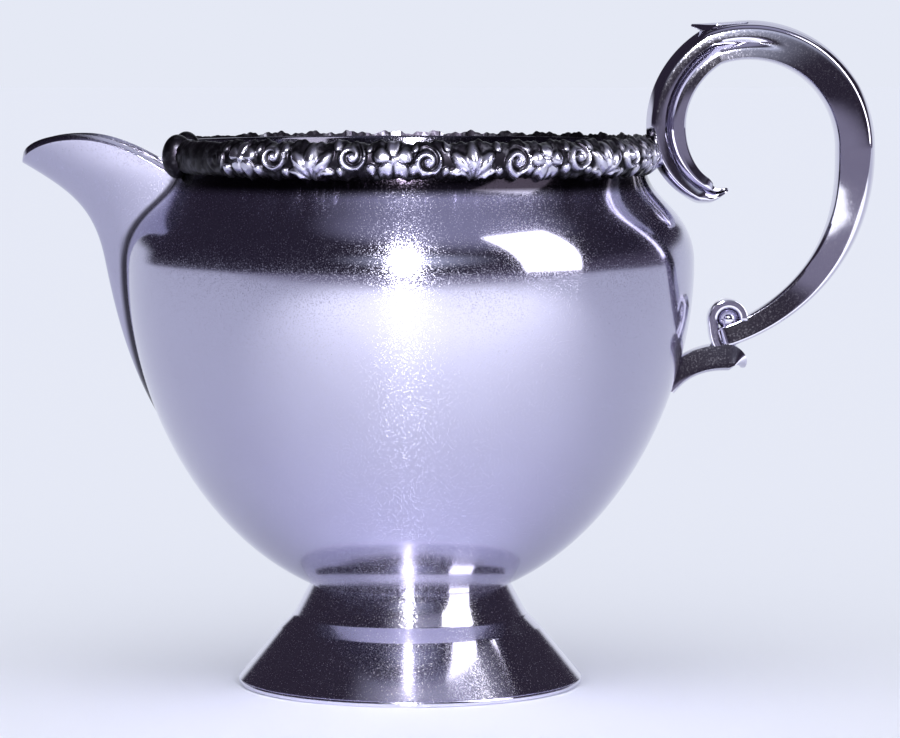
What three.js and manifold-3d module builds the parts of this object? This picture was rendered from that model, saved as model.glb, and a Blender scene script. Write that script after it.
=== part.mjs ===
// A footed silver creamer. A spun bowl stands on a spun trumpet foot with a wire under its lower edge.
// A raised spout is let into the bowl's wall at -X, and a cast scroll handle stands at +X.
// A cast border of blossoms, scrolls and leaves runs round the mouth in two lengths.
// Millimetres, +Z up, with the origin on the table under the middle of the jug.
import * as THREE from 'three';
import { mergeVertices } from 'three/addons/utils/BufferGeometryUtils.js';
import Module from 'manifold-3d';

const wasm = await Module();
wasm.setup();

// Soldered neighbours stand this far apart.
const solderGap = 0.3;

// Foot: radii from the bowl's axis, heights from the table.
const wireHeight = 1.1;
const wireWidth = 1.7;
const wireEase = 0.3;
const footBaseRadius = 27.9;
const footTopRadius = 16.4;
const footHeight = 15.5;
const footEdgeRound = 0.7;
const footWall = 1;
const footHem = 1.4;
const flareRun = 5.8;
const flareRise = 6.8;
const waistRun = 0.8;
const waistDrop = 2.6;
const seatRadius = 14.4;
const flangeRadius = 12;

// Bowl: radii from its axis, heights from its own lowest point.
const bellyRadius = 45.9;
const bellyLine = 55.4;
const bellyFullHeight = 23.6;
const bottomFullRadius = 30;
const shoulderHeight = 16;
const shoulderFullHeight = 9;
const collarRadius = 38;
const collarHeight = 3.7;
const collarFullHeight = 6;
const bowlWall = 0.9;

// Spout: reaches from the collar, drops from the rim.
const spoutTipReach = 24.4;
const spoutTipDrop = 3.6;
const spoutHalfWidth = 10.2;
const spoutRootHalfWidth = 7.5;
const spoutWall = 0.9;
const spoutPointedness = 1.8;
const spoutInset = 8;
const keelStandOff = 3.3;
const keelRootDepth = 22.9;
const throatRise = 8.9;
const tipSweepRun = 7.8;
const tipSweepRise = 4.6;
const lipRearReach = 1.5;
const lipRearDrop = 4.4;
const lipCrestReach = 14.5;
const lipCrestRise = 0.3;
const lipSweep = 5;
const lipRearRun = 3.3;
const lipRearRise = 2;
const lipRootRun = 3;
const lipRootDrop = 1.5;
const lipStock = 1.2;
const lipTipRise = 2.4;

// Border: a half-round roll with cast ornament standing on it.
const borderHeight = 6.2;
const borderBulge = 1.9;
const borderOverRim = 0.3;
const rollSpread = 72;
const borderRepeats = 5;
const knobWidth = 4.4;
const knobHeight = 6.7;
const knobDepth = 5;
const knobSink = 0.8;
const petalCount = 5;
const blossomRadius = 2.7;
const petalCut = 0.4;
const petalCrest = 1.95;
const petalLift = 1;
const hollowRadius = 1;
const hollowLift = 0.6;
const bossRadius = 0.55;
const bossLift = 1.2;
const scrollRadius = 3.3;
const scrollEye = 0.8;
const scrollTurn = 430;
const scrollWire = 0.75;
const scrollLift = 0.25;
const leafLength = 4.4;
const leafWidth = 1.7;
const leafDepth = 3.4;
const leafSink = 0.55;
const leafTilt = 24;

// Handle: a scroll about its own centre, angles in degrees from +X towards +Z.
const loopRadius = 17.3;
const loopDrop = 1.2;
const loopThick = 6.4;
const loopWide = 7;
const handleBite = 1.3;
const voluteStart = 110;
const voluteEnd = 229;
const voluteRadius = 9.7;
const voluteThick = 4.6;
const tailThick = 3.1;
const tailWide = 4.2;
const tailSpread = 1.8;
const tailSeatRun = 1.2;
const tailSeatDrop = 2.9;
const spurLength = 9.4;
const spurFall = 0.6;
const spurWide = 4.4;
const spurTip = 0.8;
const spurTaper = 0.7;
const spurSink = 1.6;

// Lower fixing: a curl on an arm that springs from the belly.
const armDrop = 19.1;
const armReach = 8.8;
const armRise = 3;
const armRootThick = 3;
const armThick = 4.3;
const armWide = 5;
const heelRun = 2.3;
const heelDrop = 1.9;
const heelTip = 0.6;
const curlGap = 3;
const curlDrop = 9;
const curlRadius = 2.4;
const curlEndRadius = 1.5;
const curlThick = 3.2;
const curlTipThick = 1.5;
const curlWide = 4.6;
const curlStart = 285;
const curlEnd = -30;

// Facets.
const roundSteps = 40;
const bowlSteps = [9, 7, 1];
const keelSteps = [7, 8];
const flareSteps = [6];
const ovalSides = 10;
const beakSteps = 8;
const beadSteps = [6, 3];
const endAngles = [35, 60, 80];
const degrees = Math.PI / 180;
const weldDistance = 1e-3;

const polished = new THREE.MeshStandardMaterial({ color: 0xdcdae4, roughness: 0.08, metalness: 1 });
const oxidised = new THREE.MeshStandardMaterial({ color: 0xa9a6b2, roughness: 0.25, metalness: 1 });

// Solids

function solidOf(geometry) {
  const bare = geometry.clone();
  bare.deleteAttribute('normal');
  bare.deleteAttribute('uv');
  const welded = mergeVertices(bare, weldDistance);
  const vertProperties = welded.attributes.position.array;
  const triVerts = new Uint32Array(welded.index.array);
  return new wasm.Manifold(new wasm.Mesh({ numProp: 3, vertProperties, triVerts }));
}

function geometryOf(solid) {
  const mesh = solid.getMesh();
  const geometry = new THREE.BufferGeometry();
  geometry.setAttribute('position', new THREE.BufferAttribute(mesh.vertProperties, 3));
  geometry.setIndex(new THREE.BufferAttribute(mesh.triVerts, 1));
  geometry.computeVertexNormals();
  return geometry;
}

function named(name, solid, material) {
  const mesh = new THREE.Mesh(geometryOf(solid), material);
  mesh.name = name;
  return mesh;
}

// Turns a profile of (radius, height) points about the Z axis.
function turned(profile) {
  return solidOf(new THREE.LatheGeometry(profile, roundSteps).rotateX(Math.PI / 2));
}

// Skins a row of rings that have equal numbers of points, and fills the first and last ring.
function lofted(rings) {
  const sides = rings[0].length;
  const points = rings.flat();
  const triangles = [];
  for (let ring = 0; ring < rings.length - 1; ring++) {
    for (let side = 0; side < sides; side++) {
      const a = ring * sides + side;
      const b = ring * sides + ((side + 1) % sides);
      triangles.push(a, b, b + sides, a, b + sides, a + sides);
    }
  }
  const last = (rings.length - 1) * sides;
  for (let side = 1; side < sides - 1; side++) {
    triangles.push(0, side + 1, side);
    triangles.push(last, last + side, last + side + 1);
  }
  const geometry = new THREE.BufferGeometry().setFromPoints(points);
  geometry.setIndex(triangles);
  return solidOf(geometry);
}

// Sweeps an oval through stations in the XZ plane, each with its own thickness and width along Y.
function swept(stations, grow) {
  const rings = stations.map((station, index) => {
    const before = stations[Math.max(index - 1, 0)].at;
    const after = stations[Math.min(index + 1, stations.length - 1)].at;
    const along = after.clone().sub(before).normalize();
    const thick = station.thick / 2 + grow;
    const wide = station.wide / 2 + grow;
    return Array.from({ length: ovalSides }, (unused, side) => {
      const turn = (side / ovalSides) * 2 * Math.PI;
      const across = thick * Math.cos(turn);
      return new THREE.Vector3(
        station.at.x - along.y * across,
        -wide * Math.sin(turn),
        station.at.y + along.x * across,
      );
    });
  });
  return lofted(rings);
}

// Rounds a sweep's end: more stations that close in beyond the last one.
function roundedEnd(stations) {
  const last = stations[stations.length - 1];
  const before = stations[stations.length - 2];
  const along = last.at.clone().sub(before.at).normalize();
  const reach = last.thick / 2;
  const closing = endAngles.map((angle) => ({
    at: last.at.clone().addScaledVector(along, reach * Math.sin(angle * degrees)),
    thick: last.thick * Math.cos(angle * degrees),
    wide: last.wide * Math.cos(angle * degrees),
  }));
  return [...stations, ...closing];
}

// Bowl

const collarFoot = bellyLine + shoulderHeight;
const rim = collarFoot + collarHeight;

const bowlCurve = new THREE.Path();
bowlCurve.moveTo(0, 0);
bowlCurve.bezierCurveTo(
  bottomFullRadius,
  0,
  bellyRadius,
  bellyLine - bellyFullHeight,
  bellyRadius,
  bellyLine,
);
bowlCurve.bezierCurveTo(
  bellyRadius,
  bellyLine + shoulderFullHeight,
  collarRadius,
  collarFoot - collarFullHeight,
  collarRadius,
  collarFoot,
);
bowlCurve.lineTo(collarRadius, rim);

// Points along joined profile curves, moved outwards by a distance.
function offsetProfile(curves, steps, distance) {
  const points = [];
  curves.forEach((curve, index) => {
    for (let step = index === 0 ? 0 : 1; step <= steps[index]; step++) {
      const point = curve.getPointAt(step / steps[index]);
      const along = curve.getTangentAt(step / steps[index]);
      points.push(new THREE.Vector2(point.x + along.y * distance, point.y - along.x * distance));
    }
  });
  return points;
}

const bowlOutside = offsetProfile(bowlCurve.curves, bowlSteps, 0);

function alongBowl(height) {
  const upper = bowlOutside.findIndex((point) => point.y >= height);
  const below = bowlOutside[upper - 1];
  const above = bowlOutside[upper];
  return THREE.MathUtils.mapLinear(height, below.y, above.y, below.x, above.x);
}

function bowlHeightAt(radius) {
  const outer = bowlOutside.findIndex((point) => point.x >= radius);
  const inside = bowlOutside[outer - 1];
  const outside = bowlOutside[outer];
  return THREE.MathUtils.mapLinear(radius, inside.x, outside.x, inside.y, outside.y);
}

// The bowl filled solid and grown by the solder gap, which cuts whatever is fitted against it.
function bowlSeat() {
  const profile = offsetProfile(bowlCurve.curves, bowlSteps, solderGap);
  profile.push(new THREE.Vector2(0, rim));
  profile[0].x = 0;
  return turned(profile);
}

// Spout

const spoutBack = collarRadius - spoutInset;
const tip = new THREE.Vector2(collarRadius + spoutTipReach, rim - spoutTipDrop);
const keelRoot = bellyLine - keelRootDepth;
const keelBelly = new THREE.Vector2(bellyRadius + keelStandOff, bellyLine);

const keelLow = new THREE.CubicBezierCurve(
  new THREE.Vector2(alongBowl(keelRoot), keelRoot),
  new THREE.Vector2(alongBowl(keelRoot) + keelStandOff, keelRoot + keelRootDepth / 3),
  new THREE.Vector2(keelBelly.x - keelStandOff / 2, keelBelly.y - keelRootDepth / 3),
  keelBelly,
);
const keelHigh = new THREE.CubicBezierCurve(
  keelBelly,
  new THREE.Vector2(keelBelly.x + keelStandOff / 2, keelBelly.y + throatRise),
  new THREE.Vector2(tip.x - tipSweepRun, tip.y - tipSweepRise),
  tip,
);

// The outline of the beak at each height: a pointed arch from the back of the spout to its keel.
function beak(inset) {
  const keel = offsetProfile([keelLow, keelHigh], keelSteps, -inset);
  const end = keel[keel.length - 1];
  const sweep = new THREE.Vector2(tipSweepRun, tipSweepRise);
  keel.push(end.clone().addScaledVector(sweep, lipStock));
  const power = 2 / spoutPointedness;
  const rings = keel.map((point) => {
    const open = THREE.MathUtils.smoothstep(point.y, bellyLine, tip.y);
    const half = THREE.MathUtils.lerp(spoutRootHalfWidth, spoutHalfWidth, open) - inset;
    const ring = [];
    for (let step = -beakSteps; step <= beakSteps; step++) {
      const turn = (step / beakSteps) * (Math.PI / 2);
      const reach = Math.max(Math.cos(turn), 0) ** power;
      const side = Math.sign(step) * Math.abs(Math.sin(turn)) ** power;
      const x = spoutBack + (point.x - spoutBack) * reach;
      ring.push(new THREE.Vector3(-x, -half * side, point.y));
    }
    return ring;
  });
  return lofted(rings);
}

// Everything above the pouring lip, seen from the side, pushed right across the spout.
function aboveLip() {
  const rear = new THREE.Vector2(collarRadius + lipRearReach, rim - lipRearDrop);
  const crest = new THREE.Vector2(collarRadius + lipCrestReach, rim + lipCrestRise);
  const clear = spoutTipReach;
  const shape = new THREE.Shape();
  shape.moveTo(0, rear.y - lipRootDrop);
  shape.lineTo(-rear.x + lipRootRun, rear.y - lipRootDrop);
  shape.lineTo(-rear.x, rear.y);
  shape.bezierCurveTo(
    -rear.x - lipRearRun,
    rear.y + lipRearRise,
    -crest.x + lipSweep,
    crest.y,
    -crest.x,
    crest.y,
  );
  shape.bezierCurveTo(
    -crest.x - lipSweep,
    crest.y,
    -tip.x + lipTipRise / 2,
    tip.y + lipTipRise,
    -tip.x,
    tip.y,
  );
  shape.lineTo(-tip.x - lipTipRise / 2, tip.y - lipTipRise);
  shape.lineTo(-tip.x - clear, tip.y - lipTipRise);
  shape.lineTo(-tip.x - clear, crest.y + clear);
  shape.lineTo(0, crest.y + clear);
  const depth = 4 * spoutHalfWidth;
  const block = new THREE.ExtrudeGeometry(shape, { depth, bevelEnabled: false, curveSegments: 8 });
  return solidOf(block.rotateX(Math.PI / 2).translate(0, depth / 2, 0));
}

function makeSpout() {
  return beak(0).subtract(beak(spoutWall)).subtract(bowlSeat()).subtract(aboveLip());
}

function makeBowl() {
  const inside = offsetProfile(bowlCurve.curves, bowlSteps, -bowlWall).reverse();
  const profile = [...bowlOutside, ...inside];
  profile[profile.length - 1].x = 0;
  return turned(profile).subtract(beak(spoutWall));
}

// Border

const borderMiddle = rim + borderOverRim - borderHeight / 2;
const borderFace = collarRadius + borderBulge;
const knobAngle = Math.asin((spoutHalfWidth + solderGap + knobWidth / 2) / borderFace);
const plainAngle = Math.asin((loopWide / 2 + solderGap) / borderFace);

// A point on the roll: angle from the spout towards -Y, height from the roll's middle, lift off its face.
function onRoll(angle, height, lift) {
  const tilt = THREE.MathUtils.clamp(height / (borderHeight / 2), -1, 1) * rollSpread * degrees;
  const radius = collarRadius + borderBulge * Math.cos(tilt) + lift;
  return new THREE.Vector3(-radius * Math.cos(angle), -radius * Math.sin(angle), borderMiddle + height);
}

function borderRoll(grow) {
  const inner = collarRadius - solderGap;
  const steps = 5;
  const profile = [];
  for (let step = 0; step <= steps; step++) {
    const turn = (step / steps - 0.5) * Math.PI;
    const radius = collarRadius + (borderBulge + grow) * Math.cos(turn);
    profile.push(new THREE.Vector2(radius, borderMiddle + (borderHeight / 2 + grow) * Math.sin(turn)));
  }
  const top = profile[profile.length - 1].y;
  profile.push(new THREE.Vector2(inner, top), new THREE.Vector2(inner, profile[0].y));
  profile.push(profile[0].clone());
  return turned(profile);
}

// A ring on the roll about one of its points, with lobes cut into its edge.
function lobedRing(angle, radius, cut, lift) {
  const points = 3 * petalCount;
  return Array.from({ length: points }, (unused, point) => {
    const turn = (point / points) * 2 * Math.PI;
    const reach = radius + cut * (Math.cos(petalCount * turn) - 1);
    const across = (reach * Math.sin(turn)) / borderFace;
    return onRoll(angle - across, reach * Math.cos(turn), lift);
  });
}

// A flower head: a boss in the middle, a hollow round it and a crest on each petal.
function blossom(angle) {
  return lofted([
    lobedRing(angle, petalCrest, 0, -petalLift),
    lobedRing(angle, blossomRadius, petalCut, 0),
    lobedRing(angle, petalCrest, petalCut / 2, petalLift),
    lobedRing(angle, hollowRadius, 0, hollowLift),
    lobedRing(angle, bossRadius, 0, bossLift),
  ]);
}

// An S scroll: from the eye of one coil out and over into the eye of the other.
function scroll(angle) {
  const steps = 7;
  const half = [];
  for (let step = 1; step <= steps; step++) {
    const share = step / steps;
    const turn = (180 - scrollTurn * share) * degrees;
    const radius = THREE.MathUtils.lerp(scrollRadius, scrollEye, share);
    half.push(new THREE.Vector2(scrollRadius + radius * Math.cos(turn), radius * Math.sin(turn)));
  }
  const flat = [
    ...half.map((point) => point.clone().negate()).reverse(),
    new THREE.Vector2(0, 0),
    ...half,
  ];
  const points = flat.map((point) => onRoll(angle + point.x / borderFace, point.y, scrollLift));
  const wire = new THREE.Shape();
  wire.absarc(0, 0, scrollWire, 0, 2 * Math.PI);
  return solidOf(new THREE.ExtrudeGeometry(wire, {
    steps: 2 * steps,
    curveSegments: 2,
    extrudePath: new THREE.CatmullRomCurve3(points),
    bevelEnabled: false,
  }));
}

// An oval of metal on the roll, its long axis turned in the roll's face.
function oval(angle, size, sink, turn) {
  const along = new THREE.Vector3(Math.sin(angle), -Math.cos(angle), 0);
  const up = new THREE.Vector3(0, 0, 1);
  const out = new THREE.Vector3(-Math.cos(angle), -Math.sin(angle), 0);
  const long = along.multiplyScalar(Math.cos(turn)).addScaledVector(up, Math.sin(turn));
  const wide = new THREE.Vector3().crossVectors(out, long);
  const frame = new THREE.Matrix4().makeBasis(long, wide, out);
  frame.scale(size.clone().multiplyScalar(0.5));
  frame.setPosition(onRoll(angle, 0, -sink));
  return solidOf(new THREE.SphereGeometry(1, ...beadSteps).applyMatrix4(frame));
}

function ornament() {
  const first = knobAngle + knobWidth / 2 / borderFace;
  const pitch = (Math.PI - plainAngle - first) / borderRepeats;
  const leafSize = new THREE.Vector3(leafLength, leafWidth, leafDepth);
  const leafOut = (blossomRadius + leafWidth) / borderFace;
  const knobSize = new THREE.Vector3(knobWidth, knobHeight, knobDepth);
  const parts = [oval(knobAngle, knobSize, knobSink, 0)];
  for (let repeat = 0; repeat < borderRepeats; repeat++) {
    const start = first + repeat * pitch;
    const flower = start + pitch / 4;
    parts.push(blossom(flower));
    parts.push(scroll(start + (pitch * 3) / 4));
    for (const hand of [-1, 1]) {
      parts.push(oval(flower + hand * leafOut, leafSize, leafSink, (90 - hand * leafTilt) * degrees));
    }
  }
  return parts;
}

// Keeps the stretch of the roll from the knob to the middle of the handle, on the -Y side.
function nearHalf() {
  const far = 2 * bellyRadius;
  const shape = new THREE.Shape();
  const gap = solderGap / 2;
  shape.moveTo(-borderFace * Math.cos(knobAngle), -borderFace * Math.sin(knobAngle));
  shape.lineTo(-far, -far * Math.tan(knobAngle));
  shape.lineTo(-far, -far);
  shape.lineTo(far, -far);
  shape.lineTo(far, -gap);
  shape.lineTo(0, -gap);
  const block = new THREE.ExtrudeGeometry(shape, { depth: far, bevelEnabled: false });
  return solidOf(block.translate(0, 0, borderMiddle - far / 2));
}

function makeBorder() {
  const strip = borderRoll(0).intersect(nearHalf());
  return wasm.Manifold.union([strip, ...ornament()]).subtract(bowlSeat());
}

// Lower fixing of the handle

const armRoot = bellyLine - armDrop;
const armFoot = new THREE.Vector2(alongBowl(armRoot), armRoot);
const armTop = new THREE.Vector2(armFoot.x + armReach, armFoot.y + armRise);
const heel = new THREE.Vector2(armTop.x + heelRun, armTop.y - heelDrop);

function arm(grow) {
  const springing = new THREE.QuadraticBezierCurve(
    new THREE.Vector2(armFoot.x - armRootThick / 2, armFoot.y - armRootThick / 2),
    new THREE.Vector2(armFoot.x + armRootThick / 2, armTop.y),
    armTop,
  );
  const dropping = new THREE.QuadraticBezierCurve(armTop, new THREE.Vector2(heel.x, armTop.y), heel);
  const steps = 5;
  const stations = [];
  for (let step = 0; step < steps; step++) {
    const share = step / steps;
    const thick = THREE.MathUtils.lerp(armRootThick, armThick, Math.sqrt(share));
    stations.push({ at: springing.getPointAt(share), thick, wide: armWide });
  }
  for (let step = 0; step <= steps; step++) {
    const share = step / steps;
    const thick = THREE.MathUtils.lerp(armThick, heelTip, share);
    const wide = THREE.MathUtils.lerp(armWide, heelTip, share * share);
    stations.push({ at: dropping.getPointAt(share), thick, wide });
  }
  return swept(stations, grow);
}

const curlHeight = bellyLine - curlDrop;
const curlCentre = new THREE.Vector2(
  alongBowl(curlHeight) + curlGap + curlRadius + curlThick / 2,
  curlHeight,
);

function curl(grow) {
  const steps = 16;
  const stations = [{ at: armTop.clone(), thick: curlThick, wide: curlWide }];
  for (let step = 0; step <= steps; step++) {
    const share = step / steps;
    const turn = THREE.MathUtils.lerp(curlStart, curlEnd, share) * degrees;
    const radius = THREE.MathUtils.lerp(curlRadius, curlEndRadius, share);
    const at = new THREE.Vector2(Math.cos(turn), Math.sin(turn)).multiplyScalar(radius).add(curlCentre);
    const thick = THREE.MathUtils.lerp(curlThick, curlTipThick, Math.sqrt(share));
    stations.push({ at, thick, wide: curlWide });
  }
  return swept(stations, grow);
}

// Handle

const scrollReach = (angle) => {
  const wound = THREE.MathUtils.clamp((angle - voluteStart) / (voluteEnd - voluteStart), 0, 1);
  return THREE.MathUtils.lerp(loopRadius, voluteRadius, wound);
};
const loopCentre = new THREE.Vector2(
  borderFace + scrollReach(180) + loopThick / 2 - handleBite,
  rim - loopDrop,
);
const tailEnd = new THREE.Vector2(curlCentre.x + tailSeatRun, curlCentre.y - tailSeatDrop);
const tailOffset = tailEnd.clone().sub(loopCentre);
const tailAngle = Math.atan2(tailOffset.y, tailOffset.x) / degrees;

function loopStations() {
  const steps = 38;
  const stations = [];
  for (let step = 0; step <= steps; step++) {
    const angle = THREE.MathUtils.lerp(tailAngle, voluteEnd, step / steps);
    const run = THREE.MathUtils.clamp(angle / tailAngle, 0, 1);
    const radius = scrollReach(angle) + (tailOffset.length() - loopRadius) * run ** tailSpread;
    const thin = THREE.MathUtils.smoothstep(run, 0, 1);
    const wound = THREE.MathUtils.smoothstep(angle, (voluteStart + voluteEnd) / 2, voluteEnd);
    const body = THREE.MathUtils.lerp(loopThick, voluteThick, wound);
    stations.push({
      at: new THREE.Vector2(Math.cos(angle * degrees), Math.sin(angle * degrees))
        .multiplyScalar(radius)
        .add(loopCentre),
      thick: THREE.MathUtils.lerp(body, tailThick, thin),
      wide: THREE.MathUtils.lerp(loopWide, tailWide, thin),
    });
  }
  return stations;
}

function loop(grow) {
  return swept(roundedEnd(loopStations()), grow);
}

// A leaf that leaves the top of the loop along its tangent and ends in a free tip.
function spur() {
  const top = loopRadius + loopThick / 2;
  const steps = 6;
  const stations = [];
  for (let step = 0; step <= steps; step++) {
    const share = step / steps;
    const run = spurLength * share;
    const back = Math.sqrt(top * top - run * run);
    const over = top - spurFall * share;
    const point = THREE.MathUtils.smoothstep(share, spurTaper, 1);
    const under = THREE.MathUtils.lerp(back - spurSink, over - spurTip, point);
    stations.push({
      at: new THREE.Vector2(loopCentre.x - run, loopCentre.y + (over + under) / 2),
      thick: over - under,
      wide: THREE.MathUtils.lerp(spurWide, spurTip, point),
    });
  }
  return swept(stations, 0).subtract(loop(solderGap));
}

// Foot

const footEdge = footHeight - footEdgeRound;
const seatFall = bowlHeightAt(seatRadius) - bowlHeightAt(flangeRadius);

function makeFoot() {
  const flare = new THREE.CubicBezierCurve(
    new THREE.Vector2(footBaseRadius, wireHeight),
    new THREE.Vector2(footBaseRadius - flareRun, wireHeight + flareRise),
    new THREE.Vector2(footTopRadius + waistRun, footEdge - waistDrop),
    new THREE.Vector2(footTopRadius, footEdge),
  );
  const outside = offsetProfile([flare], flareSteps, 0);
  const inside = offsetProfile([flare], flareSteps, -footWall).reverse();
  inside[inside.length - 1] = new THREE.Vector2(footBaseRadius - footHem, wireHeight);
  const ceiling = footHeight - footWall;
  const eased = footEdgeRound * (1 - Math.SQRT1_2);
  const profile = [
    ...outside,
    new THREE.Vector2(footTopRadius - eased, footHeight - eased),
    new THREE.Vector2(footTopRadius - footEdgeRound, footHeight),
    new THREE.Vector2(seatRadius, footHeight),
    new THREE.Vector2(flangeRadius, footHeight - seatFall),
    new THREE.Vector2(flangeRadius, ceiling - seatFall),
    new THREE.Vector2(seatRadius, ceiling),
    ...inside,
    outside[0].clone(),
  ];
  return turned(profile);
}

function makeBaseWire() {
  const outer = footBaseRadius;
  const inner = outer - wireWidth;
  const profile = [
    new THREE.Vector2(inner, 0),
    new THREE.Vector2(outer - wireEase, 0),
    new THREE.Vector2(outer, wireEase),
    new THREE.Vector2(outer, wireHeight),
    new THREE.Vector2(inner, wireHeight),
    new THREE.Vector2(inner, 0),
  ];
  return turned(profile);
}

// Assembly: the bowl carries the spout, border and handle, and sits on the foot's flange.

const border = makeBorder();
const upper = new THREE.Group();
upper.position.z = footHeight + solderGap - bowlHeightAt(seatRadius);
upper.add(
  named('bowl', makeBowl(), polished),
  named('spout', makeSpout(), polished),
  named('rim_border_front', border, oxidised),
  named('rim_border_back', border.mirror([0, 1, 0]), oxidised),
  named('handle_loop', loop(0).subtract(borderRoll(solderGap)).subtract(curl(solderGap)), polished),
  named('handle_thumb_spur', spur(), polished),
  named('handle_lower_scroll', curl(0).subtract(arm(solderGap)), polished),
  named('handle_bracket', arm(0).subtract(bowlSeat()), polished),
);

const standing = new THREE.Group();
standing.add(upper, named('foot', makeFoot(), polished), named('foot_base_wire', makeBaseWire(), polished));
const middle = new THREE.Box3().setFromObject(standing).getCenter(new THREE.Vector3());
standing.position.x = -middle.x;

const creamer = new THREE.Group();
creamer.add(standing);

export default creamer;
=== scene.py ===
import math
import random

import bmesh
import bpy
from mathutils import Matrix, Vector
from mathutils.geometry import interpolate_bezier


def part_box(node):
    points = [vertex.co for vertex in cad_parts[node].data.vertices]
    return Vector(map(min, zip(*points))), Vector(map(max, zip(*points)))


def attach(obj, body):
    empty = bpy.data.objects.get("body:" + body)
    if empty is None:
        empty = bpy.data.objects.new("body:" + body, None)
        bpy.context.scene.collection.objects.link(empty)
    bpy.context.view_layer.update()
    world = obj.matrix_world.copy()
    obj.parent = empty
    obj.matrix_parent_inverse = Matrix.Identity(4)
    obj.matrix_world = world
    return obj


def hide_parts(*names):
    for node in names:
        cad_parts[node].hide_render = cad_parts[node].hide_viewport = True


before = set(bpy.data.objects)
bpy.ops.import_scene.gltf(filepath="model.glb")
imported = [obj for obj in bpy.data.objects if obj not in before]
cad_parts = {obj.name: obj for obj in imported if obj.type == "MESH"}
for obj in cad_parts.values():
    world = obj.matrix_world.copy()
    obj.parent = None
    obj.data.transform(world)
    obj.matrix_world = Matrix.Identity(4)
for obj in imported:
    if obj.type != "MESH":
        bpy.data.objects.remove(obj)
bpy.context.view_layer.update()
mm = 0.001
wireLow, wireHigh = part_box("foot_base_wire")
axisX = (wireLow.x + wireHigh.x) / 2  # the upright axis that the bowl and the foot turn about
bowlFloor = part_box("bowl")[0].z  # lowest point of the bowl
scene = bpy.context.scene
print("frame loaded")


def linear(hexColour):
    values = []
    for digit in (1, 3, 5):
        value = int(hexColour[digit:digit + 2], 16) / 255
        values.append(value / 12.92 if value <= 0.04045 else ((value + 0.055) / 1.055) ** 2.4)
    return (*values, 1.0)


def addNode(tree, kind, settings=None, values=None, links=None):
    node = tree.nodes.new(kind)
    for key, value in (settings or {}).items():
        setattr(node, key, value)
    for key, value in (values or {}).items():
        node.inputs[key].default_value = value
    for key, socket in (links or {}).items():
        tree.links.new(socket, node.inputs[key])
    return node


def newMaterial(name):
    material = bpy.data.materials.new(name)
    material.use_nodes = True
    material.node_tree.nodes.clear()
    return material, material.node_tree


def mix(start, end, share):
    return start + (end - start) * share


def ease(value, low, high):
    share = min(max((value - low) / (high - low), 0), 1)
    return share * share * (3 - 2 * share)


def curve(*points, steps=40):
    corners = [Vector((point[0], 0, point[1])) for point in points]
    return [(point.x, point.z) for point in interpolate_bezier(*corners, steps + 1)]


def heightLookup(line):
    def find(height):
        for low, high in zip(line, line[1:]):
            if height <= high[1]:
                break
        share = (height - low[1]) / (high[1] - low[1])
        return mix(low[0], high[0], share)
    return find


def onAxis(radius, height, angle=0.0):
    # angle 0 faces the spout, and a quarter turn faces the front
    across = radius * math.cos(angle) * mm
    ahead = radius * math.sin(angle) * mm
    return Vector((axisX - across, -ahead, bowlFloor + height * mm))


def offsetLine(line, distance):
    shifted = []
    for number, point in enumerate(line):
        before = line[max(number - 1, 0)]
        after = line[min(number + 1, len(line) - 1)]
        run, rise = after[0] - before[0], after[1] - before[1]
        length = math.hypot(run, rise)
        shifted.append((point[0] - rise / length * distance, point[1] + run / length * distance))
    return shifted


def spinLine(line, rounds):
    # turns an outline of radius and height about the upright axis
    bm = bmesh.new()
    start = onAxis(line[0][0], line[0][1])
    points = [bmesh.ops.create_vert(bm, co=start)["vert"][0]]
    for radius, height in line[1:]:
        step = bmesh.ops.extrude_vert_indiv(bm, verts=points[-1:])
        points += step["verts"]
        points[-1].co = onAxis(radius, height)
    bmesh.ops.spin(bm, geom=bm.verts[:] + bm.edges[:], cent=(axisX, 0, 0), axis=(0, 0, 1),
                   angle=math.tau, steps=rounds, use_merge=True)
    bmesh.ops.remove_doubles(bm, verts=bm.verts, dist=1e-6)
    return bm


def shapeGrid(pointAt, along, around, shadeAt=None):
    # lays a grid so that each corner lies where pointAt says, with shares of 0 to 1 along and around
    bm = bmesh.new()
    bmesh.ops.create_grid(bm, x_segments=along, y_segments=around, size=0.5)
    oxide_and_painted_shade = bm.verts.layers.float.new("oxide_and_painted_shade")
    for vert in bm.verts:
        share, turn = vert.co.x + 0.5, vert.co.y + 0.5
        vert.co = pointAt(share, turn)
        if shadeAt:
            vert[oxide_and_painted_shade] = shadeAt(vert.co, turn)
    bmesh.ops.remove_doubles(bm, verts=bm.verts, dist=1e-6)
    return bm


def makePiece(bm, name, material, node, crease=40):
    bmesh.ops.recalc_face_normals(bm, faces=bm.faces)
    mesh = bpy.data.meshes.new(name)
    bm.to_mesh(mesh)
    bm.free()
    mesh.materials.append(material)
    mesh.shade_smooth()
    mesh.set_sharp_from_angle(angle=math.radians(crease))
    piece = bpy.data.objects.new(name, mesh)
    scene.collection.objects.link(piece)
    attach(piece, "root")
    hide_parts(node)
    return piece


# Sterling silver, spun on a lathe and buffed: a mirror with the lathe's fine rings, its colour painted a
# darker lavender grey than the cast silver, as painted shade that dims what it mirrors.
# Pattern sizes are in mm. Scratches are drawn coarser than real ones, so that they show.
spunFinish = {"colour": "#B8B6CE", "wornColour": "#AFACC4", "oxide_and_shade_colour": "#221E26", "roughness": 0.09,
              "scratchRoughness": 0.36, "scratch": 0.2, "scratchFrom": 0.49, "scratchFull": 0.74,
              "wearPatch": 16.7, "wave": 22.2, "waveStrength": 0.06, "waveDepth": 0.3, "anisotropy": 0.85}
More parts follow.
